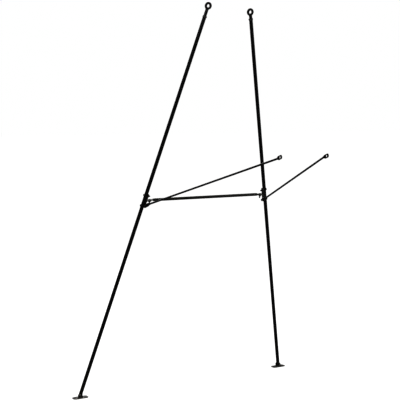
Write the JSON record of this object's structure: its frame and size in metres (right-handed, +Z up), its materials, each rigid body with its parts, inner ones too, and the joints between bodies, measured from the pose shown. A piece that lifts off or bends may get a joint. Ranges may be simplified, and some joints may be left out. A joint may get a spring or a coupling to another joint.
{
  "type": "two-leg field easel support frame",
  "caption": "Black steel tube easel support frame: splayed legs with ring eyes and foot plates, a bolted cross bar, and hinged rod stays with punched flat eyes.",
  "frame": {"origin": "on the ground, halfway between the two foot pins", "axes": "+X across the frame from the left leg to the right leg, +Y to the back, away from the stays, +Z up"},
  "size_m": [1.181, 0.9847, 1.7855],
  "materials": {
    "leg_paint": "satin-gloss black powder coat",
    "bracket_paint": "satin olive-black powder coat",
    "bar_paint": "satin olive-black powder coat",
    "foot_paint": "satin black powder coat, scuffed",
    "dark_fastener": "black zinc plating",
    "bare_steel": "drawn steel tube, oiled"
  },
  "bodies": {
    "frame": {"left_lower_leg": "leg_paint", "right_lower_leg": "leg_paint", "left_upper_leg": "leg_paint", "right_upper_leg": "leg_paint", "left_top_collar": "leg_paint", "right_top_collar": "leg_paint", "left_bar_bracket": "bracket_paint", "right_bar_bracket": "bracket_paint", "cross_bar": "bar_paint", "left_upper_bolt": "dark_fastener", "right_upper_bolt": "dark_fastener", "left_upper_nut": "dark_fastener", "right_upper_nut": "dark_fastener", "left_upper_washer": "dark_fastener", "right_upper_washer": "dark_fastener", "left_pivot_bolt": "dark_fastener", "right_pivot_bolt": "dark_fastener", "left_pivot_nut": "dark_fastener", "right_pivot_nut": "dark_fastener", "left_pivot_washers": "dark_fastener", "right_pivot_washers": "dark_fastener", "left_bar_bolt": "dark_fastener", "right_bar_bolt": "dark_fastener", "left_bar_nut": "dark_fastener", "right_bar_nut": "dark_fastener", "left_grub_screw": "dark_fastener", "right_grub_screw": "dark_fastener", "left_leg_spigot": "bare_steel", "right_leg_spigot": "bare_steel"},
    "left_stay": {"left_stay": "leg_paint"},
    "left_foot": {"left_foot_plate": "foot_paint", "left_foot_pin": "dark_fastener"},
    "left_eye": {"left_ring_eye": "leg_paint"},
    "right_stay": {"right_stay": "leg_paint"},
    "right_foot": {"right_foot_plate": "foot_paint", "right_foot_pin": "dark_fastener"},
    "right_eye": {"right_ring_eye": "leg_paint"}
  },
  "joints": [
    {"name": "left_stay_hinge", "type": "hinge", "parent": "frame", "child": "left_stay", "pos_m": [-0.31768, -0.19956, 0.89138], "axis": [-0.9707, -0.0532, 0.2342], "range_deg": [-123, 11]},
    {"name": "left_foot_hinge", "type": "hinge", "parent": "frame", "child": "left_foot", "pos_m": [-0.5535, 0, 0.01303], "axis": [0.6671, 0.745, 0], "range_deg": [-70, 105]},
    {"name": "left_eye_slide", "type": "slide", "parent": "frame", "child": "left_eye", "axis": [0.2402, -0.2151, 0.9466], "range_m": [-0.02, 0.02]},
    {"name": "right_stay_hinge", "type": "hinge", "parent": "frame", "child": "right_stay", "pos_m": [0.31768, -0.19956, 0.89138], "axis": [-0.9707, 0.0532, -0.2342], "range_deg": [-123, 11]},
    {"name": "right_foot_hinge", "type": "hinge", "parent": "frame", "child": "right_foot", "pos_m": [0.5535, 0, 0.01303], "axis": [0.6671, -0.745, 0], "range_deg": [-70, 105]},
    {"name": "right_eye_slide", "type": "slide", "parent": "frame", "child": "right_eye", "axis": [-0.2402, -0.2151, 0.9466], "range_m": [-0.003, 0.037]}
  ]
}
